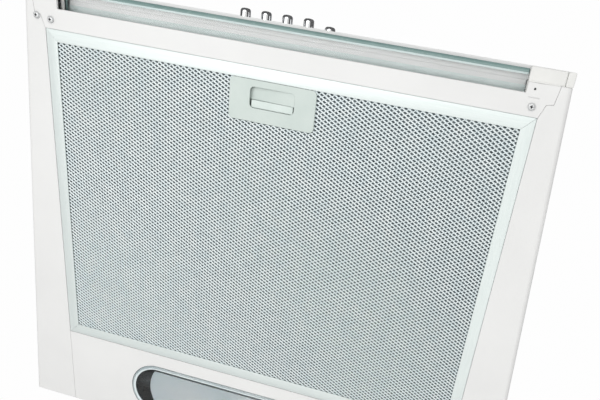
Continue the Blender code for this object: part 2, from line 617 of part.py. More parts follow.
def tube(points, radius, resolution=2):
    """A round wire through the points."""
    curve = bpy.data.curves.new("wire", "CURVE")
    curve.dimensions = "3D"
    curve.bevel_depth = radius
    curve.bevel_resolution = resolution
    curve.use_fill_caps = True
    spline = curve.splines.new("POLY")
    spline.points.add(len(points) - 1)
    for point, place in zip(spline.points, points):
        point.co = (*place, 1.0)
    holder = bpy.data.objects.new("wire", curve)
    hood.objects.link(holder)
    return evaluated_mesh(holder)


# ---- the fan -------------------------------------------------------------------------------------------------------
def volute_outline(inset, mouth_y):
    """The scroll in plan: a spiral that opens towards the rear, where it runs straight to its mouth."""
    steps = 40
    spiral = []
    for step in range(steps + 1):
        share = step / steps
        angle = radians(SPIRAL_START + (SPIRAL_END - SPIRAL_START) * share)
        radius = SPIRAL_SMALL + (SPIRAL_LARGE - SPIRAL_SMALL) * share - inset
        spiral.append((FAN_CENTRE.x + radius * cos(angle), FAN_CENTRE.y + radius * sin(angle)))
    tongue_x = spiral[0][0] + 1.5 * inset
    return [(tongue_x, mouth_y)] + [(tongue_x, spiral[0][1])] + spiral[1:] + [(spiral[-1][0], mouth_y)]


def build_fan():
    volute = part("fan_volute", plate(volute_outline(0.0, MOUTH_Y), (FAN_LOW_Z, FAN_HIGH_Z)), GREY_PLASTIC)
    cut(volute, plate(volute_outline(FAN_WALL, MOUTH_Y + CUT), (FAN_LOW_Z - CUT, FAN_HIGH_Z - FAN_WALL)))
    lid_z = (FAN_LOW_Z - GAP - 0.0020, FAN_LOW_Z - GAP)
    lid = part("volute_lid", plate(volute_outline(0.0, MOUTH_Y), lid_z), GREY_PLASTIC)
    cut(lid, cylinder(INLET_RADIUS, -0.02, 0.02, (*FAN_CENTRE.xy, lid_z[0]), steps=48))

    top, low = FAN_HIGH_Z - 0.006, FAN_LOW_Z + 0.006
    profile = [(SHAFT_RADIUS + GAP, top), (IMPELLER_RADIUS, top), (IMPELLER_RADIUS, low), (IMPELLER_BORE, low),
               (IMPELLER_BORE, top - 0.003), (0.014, top - 0.003), (0.014, top - 0.022),
               (SHAFT_RADIUS + GAP, top - 0.022)]
    axis_foot = (*FAN_CENTRE.xy, 0)
    spin_centre = (*FAN_CENTRE.xy, (top + low) / 2)
    impeller = part("impeller", turned(profile, axis_foot, steps=48, closed=True), GREY_PLASTIC, spin_centre)
    slot = box((IMPELLER_BORE - 0.004, IMPELLER_RADIUS + 0.004), (-0.0065, 0.0065), (low + 0.004, top - 0.006))
    middle = Matrix.Translation(((IMPELLER_BORE + IMPELLER_RADIUS) / 2, 0, 0))
    slant = middle @ Matrix.Rotation(radians(BLADE_SLANT), 4, "Z") @ middle.inverted()
    turns = [Matrix.Translation(axis_foot) @ Matrix.Rotation(2 * pi * i / BLADE_COUNT, 4, "Z") @ slant
             for i in range(BLADE_COUNT)]
    cut(impeller, merged([slot], turns))
    shaft_low = FAN_LOW_Z + 0.008
    part("motor_shaft", cylinder(SHAFT_RADIUS, shaft_low, top - 0.002, axis_foot, steps=20), ZINC_STEEL, spin_centre)

    bracket_z = (lid_z[0] - GAP - 0.0020, lid_z[0] - GAP)
    case_top, case_low = top - 0.026, bracket_z[1] + GAP
    bore, seat = 0.0049, 0.0080
    case = [(seat, case_top), (0.030, case_top), (0.038, case_top - 0.006), (0.038, case_low + 0.004),
            (0.034, case_low), (0, case_low), (0, shaft_low - 0.001), (bore, shaft_low - 0.001),
            (bore, shaft_low + 0.002), (seat, shaft_low + 0.002), (seat, shaft_low + 0.010), (bore, shaft_low + 0.010),
            (bore, case_top - 0.008), (seat, case_top - 0.008)]
    part("motor_case", turned(case, axis_foot, steps=28, closed=True), ZINC_STEEL)
    for name, low_end in (("lower", shaft_low + 0.002), ("upper", case_top - 0.008)):
        part("motor_bush_" + name, ring(SHAFT_RADIUS + GAP, seat - GAP, low_end + GAP, low_end + 0.008 - GAP,
                                        axis_foot, steps=24), BRONZE)
    build_motor_bracket(bracket_z)


def spider_outline(hub_radius, reach, arm_half_width, arms=3, arc_steps=8):
    """A disc in plan with arms that point away from its centre; the first arm points along +X."""
    root = asin(arm_half_width / hub_radius)
    outline = []
    for arm in range(arms):
        turn = 2 * pi * arm / arms
        for x, y in ((reach, -arm_half_width), (reach, arm_half_width)):
            outline.append((x * cos(turn) - y * sin(turn), x * sin(turn) + y * cos(turn)))
        span = 2 * pi / arms - 2 * root
        for step in range(arc_steps + 1):
            angle = turn + root + span * step / arc_steps
            outline.append((hub_radius * cos(angle), hub_radius * sin(angle)))
    return outline


def build_motor_bracket(bracket_z):
    """A three-armed plate under the inlet ring, which carries the motor."""
    plan = plate(spider_outline(0.036, 0.076, 0.006), bracket_z)
    plan.transform(Matrix.Translation((*FAN_CENTRE.xy, 0)) @ Matrix.Rotation(radians(30), 4, "Z"))
    part("motor_bracket", plan, ZINC_STEEL)


def pan_screw(place, radius, head_radius, head_height, length):
    """A pan-head screw driven upwards, with the underside of its head at place."""
    profile = [(0, length), (radius, length), (radius, 0), (head_radius, 0), (head_radius, -0.4 * head_height),
               (0.6 * head_radius, -head_height), (0, -head_height)]
    return turned(profile, place, steps=16)


# ---- the outlet ----------------------------------------------------------------------------------------------------
def build_outlet():
    """The box behind the volute that turns the air up into the round collar, and the collar with its two flaps."""
    x, y, z = (-0.078, 0.112), (MOUTH_Y + GAP, 0.1405), (FAN_LOW_Z, FAN_HIGH_Z)
    wall = FAN_WALL
    outlet = part("outlet_box", box(x, y, z), GREY_PLASTIC)
    cut(outlet, box((x[0] + wall, x[1] - wall), (y[0] + wall, y[1] - wall), (z[0] + wall, z[1] - wall)))
    mouth = volute_outline(FAN_WALL, MOUTH_Y)
    mouth_x = (mouth[0][0], mouth[-1][0])
    cut(outlet, box(mouth_x, (y[0] - CUT, y[0] + wall + CUT), (z[0] + wall, z[1] - wall)))
    cut(outlet, cylinder(COLLAR_RADIUS - COLLAR_WALL, -0.02, 0.02, (0, COLLAR_Y, 0), steps=48))
    inner, outer = COLLAR_RADIUS - COLLAR_WALL, COLLAR_RADIUS
    seat_z = FAN_HIGH_Z + GAP
    loop = [(inner, COLLAR_HEIGHT), (outer, COLLAR_HEIGHT), (outer, FLANGE_TOP_Z), (COLLAR_FLANGE_RADIUS, FLANGE_TOP_Z),
            (COLLAR_FLANGE_RADIUS, seat_z), (inner, seat_z)]
    part("outlet_collar", turned(loop, (0, COLLAR_Y, 0), steps=48, closed=True), GREY_PLASTIC)
    pin_y, disc_radius = 0.0022, 0.0545
    chord_y = pin_y + 0.0015
    first = asin(chord_y / disc_radius)
    arc = [first + (pi - 2 * first) * step / 24 for step in range(25)]
    for name, side in (("front", -1), ("rear", 1)):
        hinge = (0, COLLAR_Y + side * pin_y, FLAP_Z)
        outline = [(disc_radius * cos(angle), COLLAR_Y + side * disc_radius * sin(angle)) for angle in arc]
        flap = part("damper_flap_" + name, plate(outline, (FLAP_Z - 0.0006, FLAP_Z + 0.0006)), BLACK_PLASTIC, hinge)
        add(flap, ring(0.0011, 0.0019, -0.050, 0.050, (0, hinge[1], FLAP_Z), (1, 0, 0), 16))
        pin = cylinder(0.0008, -inner + 0.0004, inner - 0.0004, (0, hinge[1], FLAP_Z), (1, 0, 0), 12)
        part("damper_pin_" + name, pin, ZINC_STEEL)


# ---- electrics -----------------------------------------------------------------------------------------------------
def build_electrics():
    shell_z = (TERMINAL_Z[0] + 0.0025, TERMINAL_Z[1])
    box_part = part("terminal_box", box(TERMINAL_X, TERMINAL_Y, shell_z), WHITE_PLASTIC)
    wall = 0.0020
    cut(box_part, box((TERMINAL_X[0] + wall, TERMINAL_X[1] - wall), (TERMINAL_Y[0] + wall, TERMINAL_Y[1] - wall),
                      (shell_z[0] - CUT, shell_z[1] - wall)))
    cut(box_part, cylinder(0.0083, -0.02, 0.02, GLAND_PLACE, steps=24))
    part("terminal_lid", box(TERMINAL_X, TERMINAL_Y, (TERMINAL_Z[0], shell_z[0] - GAP)), WHITE_PLASTIC)
    seat_z = TERMINAL_Z[1] + GAP
    gland = [(0.0045, 0.012), (0.0065, 0.012), (0.0090, 0.006), (GLAND_FLANGE_RADIUS, 0.006),
             (GLAND_FLANGE_RADIUS, seat_z), (0.0080, seat_z), (0.0080, -0.012), (0.0045, -0.012)]
    part("cable_gland", turned(gland, GLAND_PLACE, steps=24, closed=True), BLACK_PLASTIC)
    can = [(0, 0.062), (0.0135, 0.062), (0.015, 0.0605), (0.015, 0), (0, 0)]
    part("motor_capacitor", turned(can, CAPACITOR_PLACE, (0, 1, 0), 28), WHITE_PLASTIC)
    strap = ring(0.0153, 0.0164, 0.026, 0.036, CAPACITOR_PLACE, (0, 1, 0), 28)
    part("capacitor_strap", strap, ZINC_STEEL)
    lead_z = BASE_Z + 0.026
    stops = [(-0.0625, -0.3130, lead_z), (-0.078, -0.3130, lead_z), (-0.110, -0.306, lead_z + 0.004),
             (-0.155, -0.270, lead_z + 0.008), (-0.190, -0.200, lead_z + 0.012), (-0.205, -0.110, lead_z + 0.020),
             (-0.208, -0.020, lead_z + 0.036), (-0.200, 0.030, lead_z + 0.056), (-0.190, 0.056, lead_z + 0.070),
             (-0.190, 0.0695, lead_z + 0.072)]
    part("internal_lead", tube(smooth_route(stops, 4), 0.003), WHITE_PLASTIC)


def smooth_route(stops, per_span):
    """Points on a smooth curve through the stops."""
    stops = [Vector(stop) for stop in stops]
    padded = [2 * stops[0] - stops[1], *stops, 2 * stops[-1] - stops[-2]]
    route = []
    for a, b, c, d in zip(padded, padded[1:], padded[2:], padded[3:]):
        for step in range(per_span):
            t = step / per_span
            route.append(0.5 * (2 * b + (c - a) * t + (2 * a - 5 * b + 4 * c - d) * t ** 2
                                + (3 * b - a - 3 * c + d) * t ** 3))
    route.append(stops[-1])
    return route


def build_panel_screws():
    for name, x, y in (("cross_panel_screw_left", -SCREW_X, SCREW_Y), ("cross_panel_screw_right", SCREW_X, SCREW_Y),
                       ("strip_screw", -STRIP_SCREW_X, STRIP_SCREW_Y)):
        part(name, pan_screw((x, y, BASE_Z - GAP), 0.0016, 0.0034, 0.0018, 0.006), CHROME)


build_side_panel("side_panel_left", -1)
build_side_panel("side_panel_right", 1)
build_top_cover()
build_front()
build_cross_panel()
build_lamp_panel()
build_lamp()
build_visor()
build_buttons()
build_filter()
build_latch()
build_fan()
build_outlet()
build_electrics()
build_panel_screws()
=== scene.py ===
"""The looks of an under cabinet range hood: a white sheet-metal canopy seen from below, with a pull-out glass visor,
chrome push-buttons, an aluminium mesh filter and a lamp at the rear.

Metres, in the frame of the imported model: +Z up, the front edge towards -Y, the wall at +Y.
"""
from math import cos, pi, radians, sin

import bpy
import numpy as np
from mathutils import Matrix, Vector


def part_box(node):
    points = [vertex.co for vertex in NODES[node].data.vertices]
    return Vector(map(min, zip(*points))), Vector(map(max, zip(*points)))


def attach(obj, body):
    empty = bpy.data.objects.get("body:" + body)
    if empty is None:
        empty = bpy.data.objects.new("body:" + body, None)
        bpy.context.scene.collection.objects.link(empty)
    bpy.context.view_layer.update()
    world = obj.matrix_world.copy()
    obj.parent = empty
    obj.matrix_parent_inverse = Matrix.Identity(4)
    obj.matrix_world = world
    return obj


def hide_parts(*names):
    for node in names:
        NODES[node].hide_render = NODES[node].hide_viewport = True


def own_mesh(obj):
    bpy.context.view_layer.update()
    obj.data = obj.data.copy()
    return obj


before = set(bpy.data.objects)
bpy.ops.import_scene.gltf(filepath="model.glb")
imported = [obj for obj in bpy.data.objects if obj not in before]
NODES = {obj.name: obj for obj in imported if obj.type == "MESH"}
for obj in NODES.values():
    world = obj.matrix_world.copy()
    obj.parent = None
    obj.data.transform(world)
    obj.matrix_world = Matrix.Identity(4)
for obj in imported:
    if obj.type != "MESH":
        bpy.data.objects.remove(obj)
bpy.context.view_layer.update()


# ---- sizes shared by the pieces ------------------------------------------------------------------------------------
def span(node, axis):
    """The lowest and highest value of a CAD node along an axis, 0 for x, 1 for y and 2 for z."""
    low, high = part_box(node)
    return low[axis], high[axis]


def spans(node):
    """The span of a CAD node along x, y and z."""
    return [span(node, axis) for axis in range(3)]


BASE_Z = span("lamp_panel", 2)[0]
FRAME_X, FRAME_Y, FRAME_Z = spans("filter_frame")
RAIL_WIDTH = 0.0115            # of the filter frame's channel
LATCH_POCKET_HALF_X = 0.0305
LATCH_POCKET_REAR_Y = FRAME_Y[0] + RAIL_WIDTH + 0.0375
STRAND_WIDTH = 0.00138         # of the filter's front mesh
STRAND_THICK = 0.00042
LENS_X, LENS_Y, LENS_Z = spans("lamp_lens")
LENS_RADIUS = (LENS_Y[1] - LENS_Y[0]) / 2
LENS_FLANGE = 0.004            # the hidden rim that holds the lamp cover in the panel


# ---- materials -----------------------------------------------------------------------------------------------------
def srgb(red, green, blue):
    """A colour as a screen shows it, 0 to 255, turned into the linear colour a shader takes."""
    def linear(value):
        value /= 255
        return value / 12.92 if value <= 0.04045 else ((value + 0.055) / 1.055) ** 2.4
    return (linear(red), linear(green), linear(blue), 1.0)


SOCKETS = {"roughness": "Roughness", "metallic": "Metallic", "ior": "IOR", "alpha": "Alpha", "coat": "Coat Weight",
           "specular": "Specular IOR Level", "subsurface": "Subsurface Weight", "transmission": "Transmission Weight"}


class Finish:
    """A material with one Principled shader, and the nodes that give its surface detail."""

    def __init__(self, name, colour, **settings):
        self.material = bpy.data.materials.new(name)
        self.material.use_nodes = True
        self.nodes = self.material.node_tree.nodes
        self.links = self.material.node_tree.links
        self.shader = self.nodes["Principled BSDF"]
        self.shader.inputs["Base Color"].default_value = colour
        for setting, value in settings.items():
            self.shader.inputs[SOCKETS[setting]].default_value = value
        self.place = self.add("ShaderNodeTexCoord", {}).outputs["Object"]
        self.normal = None

    def add(self, kind, inputs, **settings):
        """A new node, with a value or another node's output for each of the named inputs."""
        node = self.nodes.new(kind)
        for key, value in settings.items():
            setattr(node, key, value)
        for key, value in inputs.items():
            if isinstance(value, bpy.types.NodeSocket):
                self.links.new(value, node.inputs[key])
            else:
                node.inputs[key].default_value = value
        return node

    def noise(self, size, stretch=(1, 1, 1), detail=2.0):
        """Cloudy noise with features of about this size in metres, stretched along the axes."""
        scale = tuple(1 / part for part in stretch)
        place = self.add("ShaderNodeMapping", {"Vector": self.place, "Scale": scale}).outputs["Vector"]
        return self.add("ShaderNodeTexNoise", {"Vector": place, "Scale": 1 / size, "Detail": detail}).outputs["Fac"]

    def cells(self, size):
        """Crystals of about this size in metres, each with its own value."""
        return self.add("ShaderNodeTexVoronoi", {"Vector": self.place, "Scale": 1 / size}).outputs["Color"]

    def ranged(self, pattern, low, high, start=0.3, end=0.7):
        """The pattern's values from start to end, stretched to run from low to high."""
        node = self.add("ShaderNodeMapRange", {"Value": pattern, "From Min": start, "From Max": end,
                                               "To Min": low, "To Max": high})
        return node.outputs["Result"]

    def tint(self, pattern, dark, light, start=0.3, end=0.7):
        """The colour runs from dark to light with the pattern."""
        mix = self.add("ShaderNodeMix", {}, data_type="RGBA")
        self.links.new(self.ranged(pattern, 0, 1, start, end), mix.inputs["Factor"])
        for name, colour in (("A", dark), ("B", light)):
            socket = next(one for one in mix.inputs if one.name == name and one.type == "RGBA")
            socket.default_value = colour
        result = next(one for one in mix.outputs if one.type == "RGBA")
        self.links.new(result, self.shader.inputs["Base Color"])
        return self

    def roughen(self, pattern, low, high):
        """The roughness runs from low to high with the pattern."""
        self.links.new(self.ranged(pattern, low, high), self.shader.inputs["Roughness"])
        return self

    def bump(self, pattern, height):
        """Raises the surface by up to height metres where the pattern is light."""
        inputs = {"Height": pattern, "Distance": height}
        if self.normal is not None:
            inputs["Normal"] = self.normal
        self.normal = self.add("ShaderNodeBump", inputs).outputs["Normal"]
        self.links.new(self.normal, self.shader.inputs["Normal"])
        return self

    def soft_edges(self, radius):
        """Rounds the look of sharp edges, as pressing, moulding or painting does."""
        self.normal = self.add("ShaderNodeBevel", {"Radius": radius}, samples=4).outputs["Normal"]
        self.links.new(self.normal, self.shader.inputs["Normal"])
        return self


def white_paint():
    finish = Finish("powder_coat", srgb(228, 228, 228), roughness=0.38, specular=0.45)
    finish.soft_edges(0.0005)
    finish.tint(finish.noise(0.09, detail=3), srgb(226, 226, 226), srgb(231, 231, 231))
    finish.roughen(finish.noise(0.03), 0.34, 0.44)
    finish.bump(finish.noise(0.0011, detail=3), 0.00002)
    return finish.bump(finish.noise(0.00025), 0.000004)


def white_plastic():
    finish = Finish("white_moulding", srgb(228, 228, 226), roughness=0.45)
    finish.soft_edges(0.0005)
    finish.tint(finish.noise(0.02), srgb(225, 225, 223), srgb(231, 231, 229))
    finish.roughen(finish.noise(0.008), 0.42, 0.55)
    return finish.bump(finish.noise(0.0006, detail=4), 0.00002)


def aluminium(along):
    """Clear-anodised aluminium with a fine grain along x (0) or y (1)."""
    stretch = (60, 1, 1) if along == 0 else (1, 60, 1)
    finish = Finish("anodised_" + "xy"[along], srgb(228, 236, 235), metallic=0.25, roughness=0.42)
    finish.soft_edges(0.0004)
    grain = finish.noise(0.0004, stretch, 4)
    finish.tint(grain, srgb(223, 232, 231), srgb(233, 240, 239))
    finish.roughen(finish.noise(0.004, stretch), 0.30, 0.44)
    return finish.bump(grain, 0.000006)


def mesh_metal():
    finish = Finish("expanded_aluminium", srgb(246, 251, 251), metallic=0.25, roughness=0.40)
    finish.tint(finish.noise(0.012, detail=4), srgb(236, 247, 250), srgb(247, 254, 255))
    finish.roughen(finish.noise(0.002), 0.34, 0.52)
    return finish.bump(finish.noise(0.0003), 0.00002)


def core_metal_painted_shade():
    """The layers of crumpled foil and wire behind the front mesh, coloured dark as painted shade deep inside the
    filter.
    """
    finish = Finish("filter_core", srgb(120, 128, 130), metallic=0.3, roughness=0.5)
    finish.tint(finish.noise(0.0021, (1.6, 1, 1), 4), srgb(57, 69, 75), srgb(138, 152, 159))
    finish.roughen(finish.noise(0.004), 0.4, 0.65)
    return finish.bump(finish.noise(0.0019, (1.6, 1, 1), 3), 0.0004)


def latch_plastic():
    finish = Finish("latch_moulding", srgb(201, 212, 208), roughness=0.42)
    finish.soft_edges(0.0006)
    finish.tint(finish.noise(0.015), srgb(199, 210, 206), srgb(204, 214, 210))
    finish.roughen(finish.noise(0.006), 0.36, 0.48)
    return finish.bump(finish.noise(0.0005, detail=4), 0.000015)


# A paler copy of the latch moulding: painted light that lightens the slider deep in the latch's pocket.
def slider_painted_light():
    finish = Finish("latch_slider_moulding", srgb(213, 224, 220), roughness=0.4)
    finish.soft_edges(0.0004)
    finish.tint(finish.noise(0.01), srgb(211, 222, 218), srgb(216, 226, 223))
    finish.roughen(finish.noise(0.006), 0.34, 0.46)
    return finish.bump(finish.noise(0.0005, detail=4), 0.00001)


def glass():
    finish = Finish("visor_glass", srgb(250, 253, 253), roughness=0.0, transmission=1.0, ior=1.52, alpha=0.17)
    finish.tint(finish.noise(0.2), srgb(247, 253, 253), srgb(250, 254, 255))
    return finish.bump(finish.noise(0.05), 0.00001)


def glass_edge():
    finish = Finish("visor_glass_edge", srgb(116, 142, 140), roughness=0.22, ior=1.52)
    finish.tint(finish.noise(0.006, (8, 8, 1), 3), srgb(106, 133, 131), srgb(128, 152, 150))
    finish.roughen(finish.noise(0.001, (6, 6, 1)), 0.15, 0.32)
    return finish.bump(finish.noise(0.0004, (6, 6, 1), 3), 0.00003)


def glass_arris():
    """The narrow ground strip beside the glass's edge, which catches the light."""
    finish = Finish("visor_glass_arris", srgb(222, 241, 241), roughness=0.3, alpha=0.6)
    finish.tint(finish.noise(0.01, (8, 8, 1)), srgb(216, 238, 238), srgb(228, 244, 244))
    return finish.bump(finish.noise(0.001), 0.00002)


# A grey-green moulding whose tone paints the shade that falls under the fascia's lip.
def guide_painted_shade():
    finish = Finish("visor_guide_painted_shade", srgb(213, 223, 222), roughness=0.5)
    finish.tint(finish.noise(0.02), srgb(209, 220, 219), srgb(217, 226, 225))
    finish.roughen(finish.noise(0.006), 0.45, 0.6)
    return finish.bump(finish.noise(0.0006, detail=4), 0.00002)


def screw_steel():
    finish = Finish("screw_steel", srgb(226, 228, 229), metallic=0.55, roughness=0.42)
    finish.tint(finish.noise(0.0008), srgb(218, 220, 222), srgb(233, 234, 234))
    finish.roughen(finish.noise(0.0006), 0.36, 0.5)
    return finish.bump(finish.noise(0.0004), 0.000006)


def lens_plastic():
    finish = Finish("lamp_lens", srgb(248, 251, 253), roughness=0.06, transmission=1.0, ior=1.47)
    finish.tint(finish.noise(0.05), srgb(246, 250, 252), srgb(251, 252, 253))
    finish.roughen(finish.noise(0.01), 0.04, 0.10)
    return finish.bump(finish.noise(0.004), 0.00003)


# The clear cover's rim as a pale opaque ring: a painted highlight along the rim.
def bezel_painted_highlight():
    finish = Finish("lamp_bezel_painted_highlight", srgb(226, 236, 238), roughness=0.16, coat=0.4)
    finish.tint(finish.noise(0.03), srgb(221, 232, 235), srgb(231, 240, 241))
    finish.roughen(finish.noise(0.008), 0.12, 0.22)
    return finish.bump(finish.noise(0.004), 0.00002)


def diffuser_plastic():
    finish = Finish("lamp_diffuser", srgb(246, 250, 250), roughness=0.35, subsurface=0.1)
    finish.tint(finish.noise(0.06), srgb(243, 248, 248), srgb(250, 252, 252))
    finish.roughen(finish.noise(0.004), 0.30, 0.42)
    return finish.bump(finish.noise(0.0008), 0.00002)


def reflector_metal():
    finish = Finish("satin_reflector", srgb(205, 212, 218), metallic=0.9, roughness=0.3)
    finish.tint(finish.noise(0.004, (20, 1, 1), 3), srgb(196, 204, 211), srgb(214, 220, 226))
    finish.roughen(finish.noise(0.01), 0.26, 0.40)
    return finish.bump(finish.noise(0.006, detail=3), 0.0002)


def chrome():
    finish = Finish("chrome", srgb(240, 241, 242), metallic=1.0, roughness=0.07)
    finish.tint(finish.noise(0.01), srgb(236, 238, 240), srgb(244, 244, 245))
    finish.roughen(finish.noise(0.002, detail=4), 0.05, 0.11)
    return finish.bump(finish.noise(0.0015), 0.000004)


def recess_shade():
    """Painted shade on the bottom of a screw's recess."""
    finish = Finish("screw_recess_painted_shade", srgb(70, 70, 72), metallic=0.6, roughness=0.6)
    finish.tint(finish.noise(0.0006), srgb(52, 52, 54), srgb(90, 90, 92))
    return finish.bump(finish.noise(0.0003), 0.00002)


def zinc_steel():
    finish = Finish("zinc_plate", srgb(186, 190, 190), metallic=0.9, roughness=0.4)
    finish.soft_edges(0.0003)
    finish.tint(finish.cells(0.006), srgb(170, 175, 176), srgb(203, 206, 206), 0.1, 0.9)
    finish.roughen(finish.cells(0.006), 0.34, 0.50)
    return finish.bump(finish.noise(0.0006, detail=4), 0.00001)


def grey_plastic():
    finish = Finish("grey_moulding", srgb(138, 142, 144), roughness=0.5)
    finish.soft_edges(0.0006)
    finish.tint(finish.noise(0.03, detail=3), srgb(131, 135, 138), srgb(145, 149, 151))
    finish.roughen(finish.noise(0.01), 0.46, 0.6)
    return finish.bump(finish.noise(0.0007, detail=4), 0.00003)


def black_plastic():
    finish = Finish("black_moulding", srgb(42, 47, 49), roughness=0.5)
    finish.soft_edges(0.0005)
    finish.tint(finish.noise(0.02), srgb(38, 43, 45), srgb(47, 52, 54))
    finish.roughen(finish.noise(0.006), 0.44, 0.6)
    return finish.bump(finish.noise(0.0006, detail=4), 0.00002)


def bronze():
    finish = Finish("sintered_bronze", srgb(176, 130, 82), metallic=0.9, roughness=0.45)
    finish.tint(finish.noise(0.0008, detail=4), srgb(150, 106, 64), srgb(194, 148, 98))
    finish.roughen(finish.noise(0.0006), 0.38, 0.6)
    return finish.bump(finish.noise(0.0004), 0.00003)


def opal_glass():
    finish = Finish("opal_glass", srgb(238, 238, 234), roughness=0.18, coat=0.5, subsurface=0.3)
    finish.tint(finish.noise(0.02), srgb(234, 234, 230), srgb(243, 243, 240))
    finish.roughen(finish.noise(0.01), 0.14, 0.24)
    return finish.bump(finish.noise(0.003), 0.00001)


FINISHES = {"white_paint": white_paint(), "white_plastic": white_plastic(), "aluminium": aluminium(0),
            "mesh": mesh_metal(), "latch_plastic": latch_plastic(), "glass": glass(), "lens": lens_plastic(),
            "reflector": reflector_metal(), "chrome": chrome(), "zinc_steel": zinc_steel(),
            "grey_plastic": grey_plastic(), "black_plastic": black_plastic(), "bronze": bronze(),
            "opal_glass": opal_glass()}
ALUMINIUM_Y = aluminium(1)
CORE_PAINTED_SHADE = core_metal_painted_shade()
SLIDER_PAINTED_LIGHT = slider_painted_light()
GLASS_EDGE = glass_edge()
GLASS_ARRIS = glass_arris()
GUIDE_PAINTED_SHADE = guide_painted_shade()
SCREW_STEEL = screw_steel()
RECESS_PAINTED_SHADE = recess_shade()
BEZEL_PAINTED_HIGHLIGHT = bezel_painted_highlight()
DIFFUSER = diffuser_plastic()

for node in NODES.values():
    for slot in node.material_slots:
        slot.material = FINISHES[slot.material.name.split(".")[0]].material
NODES["filter_core"].material_slots[0].material = CORE_PAINTED_SHADE.material
NODES["latch_slider"].material_slots[0].material = SLIDER_PAINTED_LIGHT.material


# ---- mesh tools ----------------------------------------------------------------------------------------------------
def add_object(name, data):
    """Puts a mesh, a camera or a light in the scene."""
    made = bpy.data.objects.new(name, data)
    bpy.context.scene.collection.objects.link(made)
    return made


def add_piece(name, mesh, body, stands_for):
    """Puts a mesh in the scene as a piece that rides on a body and stands for the named CAD nodes."""
    made = add_object(name, mesh)
    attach(made, body)
    if stands_for:
        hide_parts(*stands_for)
    return made


def piece(name, points, faces, finishes, body, stands_for, face_finish=None, sharp=30):
    """A new piece from points and faces. face_finish gives each face the index of its finish, and edges sharper
    than sharp degrees stay sharp."""
    mesh = bpy.data.meshes.new(name)
    mesh.from_pydata([tuple(point) for point in points], [], [tuple(face) for face in faces])
    for finish in finishes:
        mesh.materials.append(finish.material)
    if face_finish is not None:
        mesh.polygons.foreach_set("material_index", face_finish)
    mesh.shade_smooth()
    mesh.set_sharp_from_angle(angle=radians(sharp))
    mesh.validate()
    return add_piece(name, mesh, body, stands_for)


def joined(*solids):
    """Several (points, faces) solids as one."""
    points, faces = [], []
    for some_points, some_faces in solids:
        faces += [[index + len(points) for index in face] for face in some_faces]
        points += list(some_points)
    return points, faces


def loft(rings, capped=True):
    """A skin through rings of points that all have the same count: capped at both ends, or joined into a loop."""
    count = len(rings[0])
    points = [point for ring in rings for point in ring]
    faces = []
    for ring in range(len(rings) - 1 if capped else len(rings)):
        here, there = ring * count, (ring + 1) % len(rings) * count
        for step in range(count):
            after = (step + 1) % count
            faces.append((here + step, here + after, there + after, there + step))
    if capped:
        faces.append(tuple(reversed(range(count))))
        faces.append(tuple(range(len(points) - count, len(points))))
    return points, faces


def outline(x, y, radius, inset, steps):
    """A rounded rectangle in plan as (x, y) pairs, drawn in by inset, its corners too."""
    smallest_radius = 0.00005
    radius = max(radius - inset, smallest_radius)
    x, y = (x[0] + inset, x[1] - inset), (y[0] + inset, y[1] - inset)
    centres = [(x[1] - radius, y[0] + radius, -90), (x[1] - radius, y[1] - radius, 0),
               (x[0] + radius, y[1] - radius, 90), (x[0] + radius, y[0] + radius, 180)]
    points = []
    for centre_x, centre_y, start in centres:
        for step in range(steps + 1):
            angle = radians(start + 90 * step / steps)
            points.append((centre_x + radius * cos(angle), centre_y + radius * sin(angle)))
    return points


def plate(x, y, radius, levels, steps=8):
    """A solid through rounded rectangles at (z, inset) levels, from the lowest up."""
    return loft([[(*point, z) for point in outline(x, y, radius, inset, steps)] for z, inset in levels])


def rounded_levels(low, high, edge, steps=4):
    """Levels for plate() whose lower and upper edges are rounded by edge."""
    lower = [(low + edge * (1 - sin(radians(90 * step / steps))), edge * (1 - cos(radians(90 * step / steps))))
             for step in range(steps, -1, -1)]
    upper = [(low + high - z, inset) for z, inset in reversed(lower)]
    return lower + upper


def turned(profile, start, axis, steps):
    """A solid of revolution from (radius, distance from start along the axis) pairs."""
    axis = Vector(axis).normalized()
    across = axis.orthogonal().normalized()
    up = axis.cross(across)
    rings = []
    for radius, along in profile:
        centre = Vector(start) + axis * along
        rings.append([centre + radius * (across * cos(2 * pi * step / steps) + up * sin(2 * pi * step / steps))
                      for step in range(steps)])
    return loft(rings)


# ---- the filter ----------------------------------------------------------------------------------------------------
def rail_section():
    """The frame's channel, as (distance in from the outer edge, height above its underside) pairs.
    A low skirt round its outside narrows the joint with the panels."""
    height = FRAME_Z[1] - FRAME_Z[0]
    skin, edge, inner_edge, skirt = 0.0009, 0.0003, 0.0004, 0.0002
    quarter = [radians(90 * step / 4) for step in range(5)]
    section = [(-skirt, edge + 0.0001), (0.0, edge + 0.00005)]
    section += [(edge * (1 - cos(angle)), edge * (1 - sin(angle))) for angle in quarter]
    section += [(RAIL_WIDTH - inner_edge + inner_edge * sin(angle), inner_edge * (1 - cos(angle)))
                for angle in quarter]
    section += [(RAIL_WIDTH, skin), (skin, skin), (skin, height - skin), (RAIL_WIDTH, height - skin),
                (RAIL_WIDTH, height), (edge, height), (0.0, height - edge), (-skirt, height - 2 * edge)]
    return section


